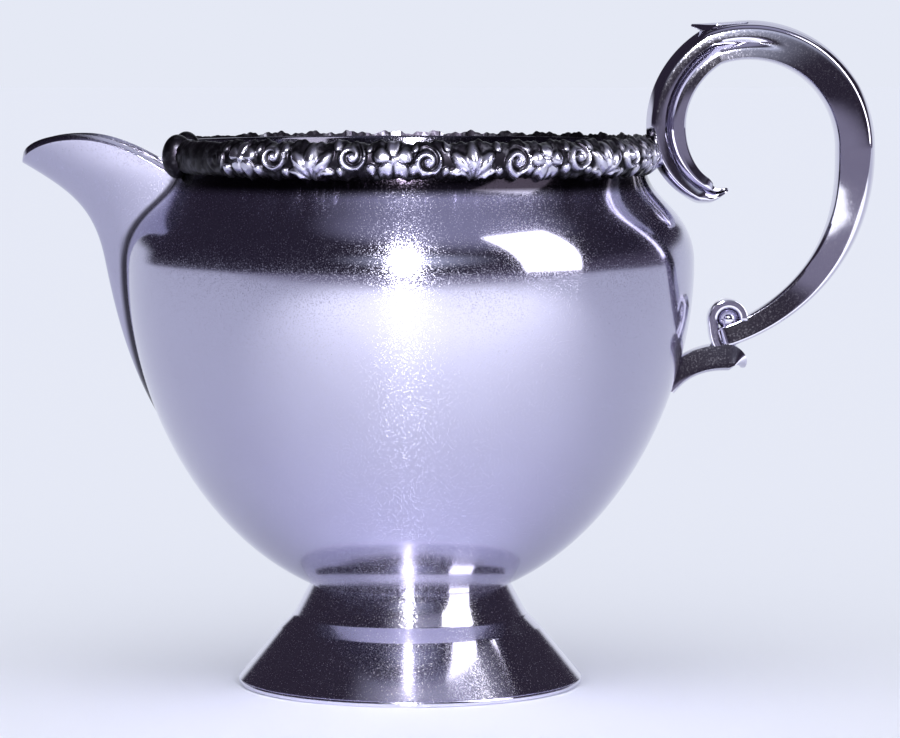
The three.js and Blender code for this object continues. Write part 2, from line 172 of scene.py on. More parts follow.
# The same, burnished once more on the foot: a sharper mirror, whiter than the bowl's silver with its
# painted shade.
footFinish = {"colour": "#DDDBE8", "wornColour": "#CFCCDC", "oxide_and_shade_colour": "#221E26", "roughness": 0.07,
              "scratchRoughness": 0.34, "scratch": 0.2, "scratchFrom": 0.49, "scratchFull": 0.74,
              "wearPatch": 16.7, "wave": 22.2, "waveStrength": 0.05, "waveDepth": 0.3, "anisotropy": 0.85}
lathed = []
for name, finish in (("buffed", spunFinish), ("burnished", footFinish)):
    material, tree = newMaterial("sterling_silver_spun_and_" + name)
    place = addNode(tree, "ShaderNodeTexCoord").outputs["Object"]
    grain = addNode(tree, "ShaderNodeTexNoise", values={"Scale": 1000 / finish["scratch"], "Detail": 3.0},
                    links={"Vector": place})
    rough = addNode(tree, "ShaderNodeMapRange",
                    values={"From Min": finish["scratchFrom"], "From Max": finish["scratchFull"],
                            "To Min": finish["roughness"], "To Max": finish["scratchRoughness"]},
                    links={"Value": grain.outputs["Fac"]})
    wear = addNode(tree, "ShaderNodeTexNoise", values={"Scale": 1000 / finish["wearPatch"], "Detail": 4.0},
                   links={"Vector": place})
    tone = addNode(tree, "ShaderNodeMix", {"data_type": "RGBA"},
                   {"A": linear(finish["wornColour"]), "B": linear(finish["colour"])},
                   {"Factor": wear.outputs["Fac"]})
    # the attribute read here darkens the silver towards the dark colour: painted shade under the border,
    # where the spout meets the bowl and inside the spout's tip
    paintedShade = addNode(tree, "ShaderNodeAttribute", {"attribute_name": "oxide_and_painted_shade"})
    shadedTone = addNode(tree, "ShaderNodeMix", {"data_type": "RGBA"}, {"B": linear(finish["oxide_and_shade_colour"])},
                        {"Factor": paintedShade.outputs["Fac"], "A": tone.outputs["Result"]})
    wave = addNode(tree, "ShaderNodeTexNoise", values={"Scale": 1000 / finish["wave"], "Detail": 1.0},
                   links={"Vector": place})
    bump = addNode(tree, "ShaderNodeBump",
                   values={"Strength": finish["waveStrength"], "Distance": finish["waveDepth"] * mm},
                   links={"Height": wave.outputs["Fac"]})
    rings = addNode(tree, "ShaderNodeTangent", {"direction_type": "RADIAL", "axis": "Z"})
    shader = addNode(tree, "ShaderNodeBsdfPrincipled",
                     values={"Metallic": 1.0, "Anisotropic": finish["anisotropy"],
                             "Anisotropic Rotation": 0.25},
                     links={"Base Color": shadedTone.outputs["Result"],
                            "Roughness": rough.outputs["Result"], "Normal": bump.outputs["Normal"],
                            "Tangent": rings.outputs["Tangent"]})
    addNode(tree, "ShaderNodeOutputMaterial", links={"Surface": shader.outputs["BSDF"]})
    lathed.append(material)
spun, burnished = lathed

# Sterling silver, cast and polished by hand: a softer mirror with an uneven surface.
castFinish = {"colour": "#D6D4E4", "wornColour": "#BDBACB", "roughness": 0.05, "scratchRoughness": 0.085,
              "scratch": 0.3, "scratchFrom": 0.5, "scratchFull": 0.7, "wearPatch": 8.33, "wave": 5.56,
              "waveStrength": 0.08, "waveDepth": 0.2}
cast, tree = newMaterial("sterling_silver_cast_and_polished")
place = addNode(tree, "ShaderNodeTexCoord").outputs["Object"]
grain = addNode(tree, "ShaderNodeTexNoise", values={"Scale": 1000 / castFinish["scratch"], "Detail": 3.0},
                links={"Vector": place})
rough = addNode(tree, "ShaderNodeMapRange",
                values={"From Min": castFinish["scratchFrom"], "From Max": castFinish["scratchFull"],
                        "To Min": castFinish["roughness"], "To Max": castFinish["scratchRoughness"]},
                links={"Value": grain.outputs["Fac"]})
wear = addNode(tree, "ShaderNodeTexNoise", values={"Scale": 1000 / castFinish["wearPatch"], "Detail": 4.0},
               links={"Vector": place})
tone = addNode(tree, "ShaderNodeMix", {"data_type": "RGBA"},
               {"A": linear(castFinish["wornColour"]), "B": linear(castFinish["colour"])},
               {"Factor": wear.outputs["Fac"]})
wave = addNode(tree, "ShaderNodeTexNoise", values={"Scale": 1000 / castFinish["wave"], "Detail": 1.0},
               links={"Vector": place})
bump = addNode(tree, "ShaderNodeBump",
               values={"Strength": castFinish["waveStrength"], "Distance": castFinish["waveDepth"] * mm},
               links={"Height": wave.outputs["Fac"]})
shader = addNode(tree, "ShaderNodeBsdfPrincipled", values={"Metallic": 1.0},
                 links={"Base Color": tone.outputs["Result"], "Roughness": rough.outputs["Result"],
                        "Normal": bump.outputs["Normal"]})
addNode(tree, "ShaderNodeOutputMaterial", links={"Surface": shader.outputs["BSDF"]})

# Sterling silver, left unpolished inside the bowl: a dull, faintly tarnished grey with soft reflections.
insideFinish = {"colour": "#E6E3EA", "stain": "#CBC7D2", "roughness": 0.36, "stainPatch": 11.1}
unpolished, tree = newMaterial("sterling_silver_unpolished_and_tarnished")
place = addNode(tree, "ShaderNodeTexCoord").outputs["Object"]
stain = addNode(tree, "ShaderNodeTexNoise",
                values={"Scale": 1000 / insideFinish["stainPatch"], "Detail": 4.0}, links={"Vector": place})
tone = addNode(tree, "ShaderNodeMix", {"data_type": "RGBA"},
               {"A": linear(insideFinish["stain"]), "B": linear(insideFinish["colour"])},
               {"Factor": stain.outputs["Fac"]})
shader = addNode(tree, "ShaderNodeBsdfPrincipled",
                 values={"Metallic": 1.0, "Roughness": insideFinish["roughness"]},
                 links={"Base Color": tone.outputs["Result"]})
addNode(tree, "ShaderNodeOutputMaterial", links={"Surface": shader.outputs["BSDF"]})

# Sterling silver, cast in relief and darkened with oxide: bright crests, near black in the recesses. Its
# upper edge and plain end are darkened further with painted dark reflection.
reliefFinish = {"colour": "#C4C2D6", "oxide_and_shade_colour": "#18161C", "roughness": 0.17, "oxideRoughness": 0.4,
                "speck": 1.11, "speckStrength": 0.4}
relief, tree = newMaterial("sterling_silver_cast_relief_with_oxide_and_painted_shade")
depth = addNode(tree, "ShaderNodeAttribute", {"attribute_name": "oxide_and_painted_shade"})
place = addNode(tree, "ShaderNodeTexCoord").outputs["Object"]
grain = addNode(tree, "ShaderNodeTexNoise", values={"Scale": 1000 / reliefFinish["speck"], "Detail": 3.0},
                links={"Vector": place})
stain = addNode(tree, "ShaderNodeMath", {"operation": "MULTIPLY_ADD"},
                {1: reliefFinish["speckStrength"], 2: -reliefFinish["speckStrength"] / 2},
                {0: grain.outputs["Fac"]})
shade = addNode(tree, "ShaderNodeMath", {"operation": "ADD", "use_clamp": True},
                links={0: depth.outputs["Fac"], 1: stain.outputs["Value"]})
tone = addNode(tree, "ShaderNodeMix", {"data_type": "RGBA"},
               {"A": linear(reliefFinish["colour"]), "B": linear(reliefFinish["oxide_and_shade_colour"])},
               {"Factor": shade.outputs["Value"]})
rough = addNode(tree, "ShaderNodeMapRange", values={"To Min": reliefFinish["roughness"],
                "To Max": reliefFinish["oxideRoughness"]}, links={"Value": shade.outputs["Value"]})
shader = addNode(tree, "ShaderNodeBsdfPrincipled", values={"Metallic": 1.0},
                 links={"Base Color": tone.outputs["Result"], "Roughness": rough.outputs["Result"]})
addNode(tree, "ShaderNodeOutputMaterial", links={"Surface": shader.outputs["BSDF"]})
print("materials made")

# The bowl, in mm. Heights are measured from its lowest point.
bowl = {"bellyRadius": 45.9, "bellyLine": 55.4, "bellyFull": 23.6, "bottomFull": 30.0,
        "shoulderHeight": 16.0, "shoulderFull": 9.0, "collarRadius": 38.0, "collarHeight": 3.7,
        "collarFull": 6.0, "wall": 0.9, "rimSteps": 8, "rounds": 200, "paintedShadeStart": 4.6,
        "paintedShadeFull": 2.8, "paintedShadeInside": 0.8}
collarLine = bowl["bellyLine"] + bowl["shoulderHeight"]
rimHeight = collarLine + bowl["collarHeight"]
lowerLine = curve((0, 0), (bowl["bottomFull"], 0),
                  (bowl["bellyRadius"], bowl["bellyLine"] - bowl["bellyFull"]),
                  (bowl["bellyRadius"], bowl["bellyLine"]), steps=70)
upperLine = curve((bowl["bellyRadius"], bowl["bellyLine"]),
                  (bowl["bellyRadius"], bowl["bellyLine"] + bowl["shoulderFull"]),
                  (bowl["collarRadius"], collarLine - bowl["collarFull"]),
                  (bowl["collarRadius"], collarLine), steps=50)
edgeRound = bowl["wall"] / 2
outerLine = lowerLine + upperLine[1:] + [(bowl["collarRadius"], rimHeight - edgeRound)]
bowlRadius = heightLookup(outerLine)
innerLine = offsetLine(outerLine, bowl["wall"])
innerLine[0] = (0, bowl["wall"])
rimRound = []
for step in range(1, bowl["rimSteps"]):
    angle = math.pi * step / bowl["rimSteps"]
    rimRound.append((bowl["collarRadius"] - edgeRound + edgeRound * math.cos(angle),
                     rimHeight - edgeRound + edgeRound * math.sin(angle)))
bowlLine = outerLine + rimRound + innerLine[::-1]
bowlPiece = makePiece(spinLine(bowlLine, bowl["rounds"]), "bowl_body", spun, "bowl")
bowlPiece.data.materials.append(unpolished)
for face in bowlPiece.data.polygons:
    reach = math.hypot(face.center.x - axisX, face.center.y) / mm
    height = (face.center.z - bowlFloor) / mm
    if height < collarLine and reach < bowlRadius(max(height, 0)) - bowl["wall"] / 2:
        face.material_index = 1
# painted shade in the corner under the border, and more faintly inside the collar
underBorderShade = bowlPiece.data.attributes.new("oxide_and_painted_shade", "FLOAT", "POINT")
for vertex in bowlPiece.data.vertices:
    reach = math.hypot(vertex.co.x - axisX, vertex.co.y) / mm
    height = (vertex.co.z - bowlFloor) / mm
    dark = ease(height, collarLine - bowl["paintedShadeStart"], collarLine - bowl["paintedShadeFull"])
    if reach < bowl["collarRadius"] - bowl["wall"] / 2:
        dark *= bowl["paintedShadeInside"]
    underBorderShade.data[vertex.index].value = dark
print("bowl spun")

# The spout, in mm. Reach is measured from the upright axis towards the spout.
spout = {"tipReach": 24.4, "tipDrop": 3.6, "halfWidth": 10.2, "rootHalfWidth": 7.5, "wall": 0.9,
         "pointed": 1.8, "inset": 8.0, "bite": 0.5, "keelStandOff": 3.3, "keelRoot": 25.4,
         "rootStandOff": 5.0, "rootStart": 0.2, "throatRise": 8.9, "sweepRun": 7.8, "sweepRise": 4.6,
         "rearReach": 1.5, "rearDrop": 4.4, "rearRun": 3.3, "rearRise": 2.0, "rootRun": 3.0,
         "rootDrop": 1.5, "crestReach": 14.5, "crestRise": 0.3, "lipSweep": 5.0, "lipStock": 1.2,
         "lipThick": 1.6, "lipDepth": 4.0, "lipSlant": 0.4, "lipRound": 0.2, "lipSquare": 0.5,
         "lipSteps": 10, "up": 46, "across": 96, "angleStep": 0.002, "shortest": 0.3, "seamShade": 0.92,
         "seamFrom": 1.2, "seamTo": 0.3, "tipShade": 0.85, "insideFrom": 48.0, "insideTo": 53.0,
         "channelAngle": 1.35, "channelStart": 9.0, "channelPast": 4.0, "channelInset": 1.44,
         "channelNarrow": 0.9}
tip = (bowl["collarRadius"] + spout["tipReach"], rimHeight - spout["tipDrop"])
spoutBack = bowl["collarRadius"] - spout["inset"]
keelRoot = bowl["bellyLine"] - spout["keelRoot"]
keelBelly = (bowl["bellyRadius"] + spout["keelStandOff"], bowl["bellyLine"])
thirdRise = spout["keelRoot"] / 3
rootReach = bowlRadius(keelRoot)
keelLow = curve((rootReach, keelRoot), (rootReach + spout["rootStandOff"], keelRoot + thirdRise),
                (keelBelly[0] - spout["keelStandOff"] / 2, keelBelly[1] - thirdRise), keelBelly, steps=60)
keelHigh = curve(keelBelly, (keelBelly[0] + spout["keelStandOff"] / 2, keelBelly[1] + spout["throatRise"]),
                 (tip[0] - spout["sweepRun"], tip[1] - spout["sweepRise"]), tip, steps=60)
beyond = (tip[0] + 4 * spout["sweepRun"], tip[1] + 4 * spout["sweepRise"])  # past the tip
keelReach = heightLookup(keelLow + keelHigh[1:] + [beyond])
lipRear = (bowl["collarRadius"] + spout["rearReach"], rimHeight - spout["rearDrop"])
lipCrest = (bowl["collarRadius"] + spout["crestReach"], rimHeight + spout["crestRise"])
lipRoot = (lipRear[0] - spout["rootRun"], lipRear[1] - spout["rootDrop"])
lipLine = [(spoutBack, lipRoot[1]), lipRoot]
lipLine += curve(lipRear, (lipRear[0] + spout["rearRun"], lipRear[1] + spout["rearRise"]),
                 (lipCrest[0] - spout["lipSweep"], lipCrest[1]), lipCrest)
lipLine += curve(lipCrest, (lipCrest[0] + spout["lipSweep"], lipCrest[1]),
                 (tip[0] - spout["lipStock"], tip[1] + 2 * spout["lipStock"]), tip)[1:]
lipLine.append((tip[0] + spout["lipStock"], tip[1] - 2 * spout["lipStock"]))
lipFlipped = heightLookup([(height, reach) for reach, height in lipLine])  # gives the height at a reach


def beakPoint(angle, height):
    power = 2 / spout["pointed"]
    half = mix(spout["rootHalfWidth"], spout["halfWidth"], ease(height, bowl["bellyLine"], tip[1]))
    reach = spoutBack + (keelReach(height) - spoutBack) * math.cos(angle) ** power
    side = half * math.copysign(abs(math.sin(angle)) ** power, angle)
    return Vector((axisX - reach * mm, -side * mm, bowlFloor + height * mm))


def beakEdge(angle, test, low, high):
    # the height on the spout's surface where a test turns from true to false
    for halving in range(40):
        middle = (low + high) / 2
        if test(beakPoint(angle, middle), middle):
            low = middle
        else:
            high = middle
    return low


def underLip(point, height):
    return height < lipFlipped((axisX - point.x) / mm)


def insideBowl(point, height):
    reach = math.hypot(point.x - axisX, point.y) / mm
    return reach < bowlRadius(min(height, rimHeight - 1)) - spout["bite"]


def beakSpan(angle):
    # the heights between which the spout's wall stands free of the bowl
    top = beakEdge(angle, underLip, bowl["bellyLine"], lipCrest[1] + 1)
    return beakEdge(angle, insideBowl, keelRoot + spout["rootStart"], top), top


def beakHeight(angle):
    low, top = beakSpan(angle)
    return top - low


widest = 0.0  # the angle at which the wall is down to its shortest
while beakHeight(widest + spout["angleStep"]) > spout["shortest"]:
    widest += spout["angleStep"]
nudge = {"angle": 1e-4, "height": 1e-3}  # small steps that give the surface's slope
beakLines = {}


def beakWall(share, around):
    # one closed loop at each angle: up the outside, over the lip and down the inside
    angle = (share * 2 - 1) * widest
    if angle not in beakLines:
        low, top = beakSpan(angle)
        outerSide, innerSide = [], []
        for step in range(spout["up"] + 1):
            height = mix(low, top, step / spout["up"])
            point = beakPoint(angle, height)
            across = beakPoint(angle + nudge["angle"], height) - beakPoint(angle - nudge["angle"], height)
            climb = beakPoint(angle, height + nudge["height"]) - beakPoint(angle, height - nudge["height"])
            inward = across.cross(climb).normalized()
            if inward.x < 0:
                inward.negate()
            thick = mix(spout["lipThick"], spout["wall"], ease(top - height, 0, spout["lipDepth"]))
            outerSide.append(point)
            innerSide.append(point + inward * thick * mm)
        # the lip is filed to a narrow flat that slants down to the outside
        middle = (outerSide[-1] + innerSide[-1]) / 2
        spread = (outerSide[-1] - innerSide[-1]) / 2
        up = (outerSide[-1] - outerSide[-2]).normalized() * spread.length
        lip = []
        for step in range(1, spout["lipSteps"]):
            turned = math.pi * step / spout["lipSteps"]
            over = math.copysign(abs(math.cos(turned)) ** spout["lipSquare"], math.cos(turned))
            rise = spout["lipRound"] * math.sin(turned) + spout["lipSlant"] * (1 - over)
            lip.append(middle + spread * over + up * rise)
        beakLines[angle] = outerSide + lip + innerSide[::-1] + outerSide[:1]
    line = beakLines[angle]
    return line[round(around * (len(line) - 1))]


def beakPaintedShade(point, around):
    # painted shade where the solder meets the bowl, and inside the tip
    reach = math.hypot(point.x - axisX, point.y) / mm
    standOff = reach - bowlRadius(min((point.z - bowlFloor) / mm, rimHeight - 1))
    paintedShade = 1 - ease(standOff, spout["seamTo"], spout["seamFrom"])
    inner = ease(around, 0.47, 0.52) * (1 - ease(around, 0.97, 1))  # the second half of each loop
    tipInside = inner * ease(reach, spout["insideFrom"], spout["insideTo"])
    return max(spout["seamShade"] * paintedShade, spout["tipShade"] * tipInside)


loopLength = 2 * (spout["up"] + 1) + spout["lipSteps"] - 1
makePiece(shapeGrid(beakWall, spout["across"], loopLength, beakPaintedShade), "spout_beak", spun, "spout")


def beakCore(share, around):
    # the channel inside the spout, used to open the bowl's wall behind it
    angle = (around * 2 - 1) * spout["channelAngle"]
    height = mix(keelRoot + spout["channelStart"], rimHeight + spout["channelPast"], share)
    core = beakPoint(angle, min(height, tip[1]))
    reach = (axisX - core.x) / mm - spout["channelInset"]
    return Vector((axisX - reach * mm, core.y * spout["channelNarrow"], bowlFloor + height * mm))


channel = shapeGrid(beakCore, 60, 40)
bmesh.ops.holes_fill(channel, edges=channel.edges, sides=0)
bmesh.ops.recalc_face_normals(channel, faces=channel.faces)
channelMesh = bpy.data.meshes.new("spout_channel")
channel.to_mesh(channelMesh)
channel.free()
cutter = bpy.data.objects.new("spout_channel", channelMesh)
scene.collection.objects.link(cutter)
opening = bowlPiece.modifiers.new("spout_opening", "BOOLEAN")
opening.operation = "DIFFERENCE"
opening.object = cutter
with bpy.context.temp_override(object=bowlPiece, active_object=bowlPiece):
    bpy.ops.object.modifier_apply(modifier=opening.name)
bpy.data.objects.remove(cutter)
print("spout shaped")

# The foot and the wire under it, in mm and degrees, with heights from the table.
foot = {"baseRadius": 27.9, "slope": 50.0, "ledgeHeight": 9.2, "ledgeSlope": 44.0, "neckHeight": 11.4,
        "neckSlope": 61.0, "topSlope": 63.0, "height": 16.7, "wall": 1.0, "edgeWall": 1.3, "lap": 0.05,
        "steps": 90, "rounds": 180}
wire = {"height": 1.1, "width": 1.7, "square": 0.6, "sides": 16, "rounds": 180}
down = -bowlFloor / mm  # the table's height from the bowl's lowest point
cone = [(foot["baseRadius"], down + wire["height"] - foot["lap"])]
stepRise = (foot["height"] - wire["height"]) / foot["steps"]
for step in range(foot["steps"]):
    height = wire["height"] + stepRise * (step + 0.5)
    slope = foot["slope"] if height < foot["ledgeHeight"] else foot["ledgeSlope"]
    if height > foot["neckHeight"]:
        share = (height - foot["neckHeight"]) / (foot["height"] - foot["neckHeight"])
        slope = mix(foot["neckSlope"], foot["topSlope"], share)
    cone.append((cone[-1][0] - stepRise / math.tan(math.radians(slope)), cone[-1][1] + stepRise))
footInner = offsetLine(cone, foot["wall"])
footInner[0] = (cone[0][0] - foot["edgeWall"], cone[0][1])
footLine = cone + footInner[::-1] + cone[:1]
makePiece(spinLine(footLine, foot["rounds"]), "foot_cone", burnished, "foot")
wireMiddle = (foot["baseRadius"] - wire["width"] / 2, down + wire["height"] / 2)
ring = []
for step in range(wire["sides"] + 1):
    angle = math.tau * step / wire["sides"]
    out = math.copysign(abs(math.cos(angle)) ** wire["square"], math.cos(angle))
    up = math.copysign(abs(math.sin(angle)) ** wire["square"], math.sin(angle))
    ring.append((wireMiddle[0] + wire["width"] / 2 * out, wireMiddle[1] + wire["height"] / 2 * up))
makePiece(spinLine(ring, wire["rounds"]), "foot_wire", burnished, "foot_base_wire")
print("foot spun")

# The handle, in mm and degrees: a flat-sided scroll with a bevelled outer edge and a groove at its top.
handle = {"radius": 17.3, "drop": 1.2, "thick": 6.4, "wide": 7.0, "bite": 1.3, "voluteStart": 110,
          "voluteEnd": 229, "voluteRadius": 9.7, "voluteThick": 4.6, "tailThick": 3.7, "tailWide": 4.4,
          "tailSpread": 1.8, "seatRun": -2.2, "seatDrop": 3.4, "grooveDepth": 0.34, "grooveWidth": 0.12,
          "groovePlace": -0.12, "grooveFrom": 70, "grooveFull": 120, "tilt": 0.095, "flank": 0.77,
          "tailFlank": 0.84, "innerRound": 0.08, "edge": 4.2, "edgeFall": 0.93, "edgeClose": 40,
          "tipTurn": 15, "tipPull": 2.4, "tipCurve": 1.3, "tipLead": 8, "tipThin": 0.8, "tipNarrow": 0.5}
curl = {"gap": 2.4, "reach": 4.0, "drop": 9.2, "radius": 2.7, "endRadius": 2.3, "thick": 2.0,
        "tipThick": 1.5, "wide": 4.6, "start": 262, "end": -15, "stem": 2.8, "stemShare": 0.25, "eye": 1.75,
        "flank": 0.7}
arm = {"drop": 19.1, "reach": 8.8, "rise": 3.8, "rootThick": 3.0, "thick": 4.7, "wide": 5.0,
       "heelRun": 2.3, "heelDrop": 1.9, "heelTip": 0.6, "heelBlunt": 5, "heelShare": 0.4}
spur = {"length": 9.4, "fall": 0.6, "wide": 4.4, "tip": 0.5, "taper": 0.55, "sink": 1.6}
borderBulge = 1.9  # how far the handle's seat stands out from the collar


def flatSided(out, flank):
    # the section's width as a share, from -1 at its inner edge to 1 at its bevelled outer edge
    inner = -flank - handle["innerRound"]
    if out < inner:
        return math.sqrt(max(1 - ((out - inner) / (1 + inner)) ** 2, 0))
    bevel = math.log(1 + math.exp((out - flank) / (1 - flank) * handle["edge"])) / handle["edge"]
    return (1 - handle["edgeFall"] * bevel) * math.sqrt(max(1 - out ** handle["edgeClose"], 0))


def sweep(pathAt, groove=0.0):
    # a bar along a path of reach, height, thickness, width, groove share, upward tilt and flat share
    def barPoint(share, around):
        reach, height, thick, wide, cut, tilt, flank = pathAt(share)
        step = 0.003  # the share of the path on each side that gives its direction
        behind, ahead = pathAt(max(share - step, 0)), pathAt(min(share + step, 1))
        run, rise = ahead[0] - behind[0], ahead[1] - behind[1]
        length = math.hypot(run, rise)
        turn = math.tau * around
        out = math.cos(turn)
        pinch = groove * cut * math.exp(-((out - handle["groovePlace"]) / handle["grooveWidth"]) ** 2)
        half = wide / 2 * flatSided(out, flank) * (1 - pinch) * (1 + tilt * run / length * out)
        side = math.copysign(half, math.sin(turn))
        reach += rise / length * thick / 2 * out
        height -= run / length * thick / 2 * out
        return Vector((axisX + reach * mm, side * mm, bowlFloor + height * mm))
    return barPoint


def rounded(share, first, last):
    # closes the ends of a sweep, over the shares first and last of its length
    near = min(share / first, 1)
    far = min((1 - share) / last, 1)
    return math.sqrt(max(1 - (1 - near) ** 2, 0)) * math.sqrt(max(1 - (1 - far) ** 2, 0))


def scrollReach(angle):
    wound = (angle - handle["voluteStart"]) / (handle["voluteEnd"] - handle["voluteStart"])
    return mix(handle["radius"], handle["voluteRadius"], min(max(wound, 0), 1))


curlHeight = bowl["bellyLine"] - curl["drop"]
curlCentre = (bowlRadius(curlHeight) + curl["gap"] + curl["reach"], curlHeight)
loopCentre = (bowl["collarRadius"] + borderBulge + scrollReach(180) + handle["thick"] / 2 - handle["bite"],
              rimHeight - handle["drop"])
tailRun = curlCentre[0] + handle["seatRun"] - loopCentre[0]
tailRise = curlCentre[1] - handle["seatDrop"] - loopCentre[1]
tailAngle = math.degrees(math.atan2(tailRise, tailRun))
tailReach = math.hypot(tailRun, tailRise)


def loopPath(share):
    # from the thin tail in the curl, over the top and round the volute to its pointed tip
    angle = mix(tailAngle, handle["voluteEnd"] + handle["tipTurn"], share)
    run = min(max(angle / tailAngle, 0), 1)
    tipShare = max((angle - handle["voluteEnd"]) / handle["tipTurn"], 0)
    radius = scrollReach(angle) + (tailReach - handle["radius"]) * run ** handle["tailSpread"]
    radius -= handle["tipPull"] * tipShare ** handle["tipCurve"]
    thin = ease(run, 0, 1)
    wound = ease(angle, (handle["voluteStart"] + handle["voluteEnd"]) / 2, handle["voluteEnd"])
    tipEase = ease(angle, handle["voluteEnd"] - handle["tipLead"], handle["voluteEnd"] + handle["tipTurn"])
    point = 1 - handle["tipThin"] * tipEase
    close = rounded(share, 0.01, 0.01)
    thick = mix(mix(handle["thick"], handle["voluteThick"], wound), handle["tailThick"], thin)
    thick *= close * point
    wide = mix(handle["wide"], handle["tailWide"], thin)
    wide *= close * mix(handle["tipNarrow"], 1, point)
    cut = ease(angle, handle["grooveFrom"], handle["grooveFull"])
    flank = mix(handle["flank"], handle["tailFlank"], ease(run, 0.3, 0.8))
    turn = math.radians(angle)
    return (loopCentre[0] + radius * math.cos(turn), loopCentre[1] + radius * math.sin(turn),
            thick, wide, cut, handle["tilt"], flank)


def spurPath(share):
    # lies on top of the loop, with its free tip towards the spout
    top = handle["radius"] + handle["thick"] / 2
    run = spur["length"] * share
    over = top - spur["fall"] * share
    point = ease(share, spur["taper"], 1)
    under = mix(math.sqrt(top * top - run * run) - spur["sink"], over - spur["tip"], point)
    close = rounded(share, 0.05, 0.03)
    return (loopCentre[0] - run, loopCentre[1] + (over + under) / 2, (over - under) * close,
            mix(spur["wide"], spur["tip"], point) * close, 0, 0, handle["flank"])


armRoot = bowl["bellyLine"] - arm["drop"]
armFoot = (bowlRadius(armRoot), armRoot)
armTop = (armFoot[0] + arm["reach"], armFoot[1] + arm["rise"])
heel = (armTop[0] + arm["heelRun"], armTop[1] - arm["heelDrop"])


def bend(start, through, end, share):
    return [mix(mix(a, b, share), mix(b, c, share), share) for a, b, c in zip(start, through, end)]


def armPath(share):
    # springs from the belly, then drops to a pointed heel past the curl
    springShare = 1 - arm["heelShare"]
    if share < springShare:
        part = share / springShare
        start = (armFoot[0] - arm["rootThick"] / 2, armFoot[1] - arm["rootThick"] / 2)
        reach, height = bend(start, (armFoot[0] + arm["rootThick"] / 2, armTop[1]), armTop, part)
        thick = mix(arm["rootThick"], arm["thick"], math.sqrt(part))
        wide = arm["wide"]
    else:
        part = (share - springShare) / arm["heelShare"]
        reach, height = bend(armTop, (heel[0], armTop[1]), heel, part)
        thick = mix(arm["thick"], arm["heelTip"], part)
        wide = mix(arm["wide"], arm["heelTip"], part ** arm["heelBlunt"])
    close = rounded(share, 0.01, 0.02)
    return reach, height, thick * close, wide * close, 0, handle["tilt"], handle["tailFlank"]


def curlPath(share):
    # winds out of the arm and round an eye
    turn = math.radians(mix(curl["start"], curl["end"], share))
    radius = mix(curl["radius"], curl["endRadius"], share)
    radius += curl["stem"] * max(1 - share / curl["stemShare"], 0) ** 2
    close = rounded(share, 0.03, 0.06)
    return (curlCentre[0] + radius * math.cos(turn), curlCentre[1] + radius * math.sin(turn),
            mix(curl["thick"], curl["tipThick"], share) * close, curl["wide"] * close, 0, 0, curl["flank"])


makePiece(shapeGrid(sweep(loopPath, handle["grooveDepth"]), 260, 56), "handle_scroll", cast, "handle_loop")
makePiece(shapeGrid(sweep(spurPath), 48, 28), "handle_spur", cast, "handle_thumb_spur")
makePiece(shapeGrid(sweep(armPath), 72, 32), "handle_arm", cast, "handle_bracket")
volute = shapeGrid(sweep(curlPath), 110, 32)
ball = bmesh.ops.create_uvsphere(volute, u_segments=32, v_segments=20, radius=curl["eye"] * mm)["verts"]
eyeSeat = (axisX + curlCentre[0] * mm, 0, bowlFloor + curlCentre[1] * mm)
bmesh.ops.translate(volute, vec=eyeSeat, verts=ball)
makePiece(volute, "handle_curl", cast, "handle_lower_scroll")
print("handle swept")

# The border round the mouth, in mm: a half-round roll with blossoms, leaf fans, scrolls and beads on it.
# Angles are in degrees from the spout. Blossoms stand from first at each pitch, and leaf fans between.
border = {"height": 5.0, "middle": 72.8, "bulge": 1.7, "back": 0.6, "face": 0.9, "start": 19.0,
          "end": 179.6, "first": 49.5, "pitch": 36.4, "relief": 1.15, "overhang": 0.75,
          "knob": (4.6, 5.0, 7.0), "blossom": 2.9, "petals": 5, "petalWaist": 0.68, "petalCrease": 0.55,
          "boss": 0.75, "bossHeight": 0.95, "fan": 5.9, "fanBase": 0.2, "fanSpread": 1.35, "fingers": 9,
          "fingerNotch": 0.14, "scroll": 2.5, "scrollPitch": 1.5, "scrollRise": 0.35, "scrollHeight": 0.8,
          "scrollEye": 0.6, "bead": 0.85, "plain": 0.85, "along": 780, "around": 64}
# each bead's share of the way to the next fan, its height from the middle and its size
beads = ((0.27, -1.5, 1.0), (0.29, 1.5, 0.8), (0.68, 1.7, 0.9), (0.66, -1.8, 0.75))


def blossomRelief(across, up):
    radius, angle = math.hypot(across, up), math.atan2(across, up)
    petal = abs(math.cos(border["petals"] / 2 * angle))
    reach = border["blossom"] * (border["petalWaist"] + (1 - border["petalWaist"]) * petal ** 0.6)
    body = max(1 - (radius / reach) ** 4, 0) * (0.45 + 0.55 * min(radius / reach * 1.3, 1))
    crease = border["petalCrease"] * (1 - petal) ** 3 * min(radius, 1)
    boss = math.sqrt(max(1 - (radius / border["boss"]) ** 2, 0))
    return max(body - crease * (body > 0), border["bossHeight"] * boss)


def fanRelief(across, up):
    # fingers of leaf that spread upwards from the lower edge
    rise = up + border["height"] / 2 + border["fanBase"]
    radius, angle = math.hypot(across, rise), math.atan2(across, rise)
    if abs(angle) > border["fanSpread"]:
        return 0
    notch = border["fingerNotch"] * (1 - math.cos(angle * border["fingers"]))
    reach = border["fan"] * math.cos(angle * 0.75) ** 0.5 * (1 - notch)
    body = max(1 - (radius / reach) ** 5, 0) * min(radius / 1.6, 1)
    return body * (0.5 + 0.5 * abs(math.cos(angle * border["fingers"] / 2)) ** 0.7)


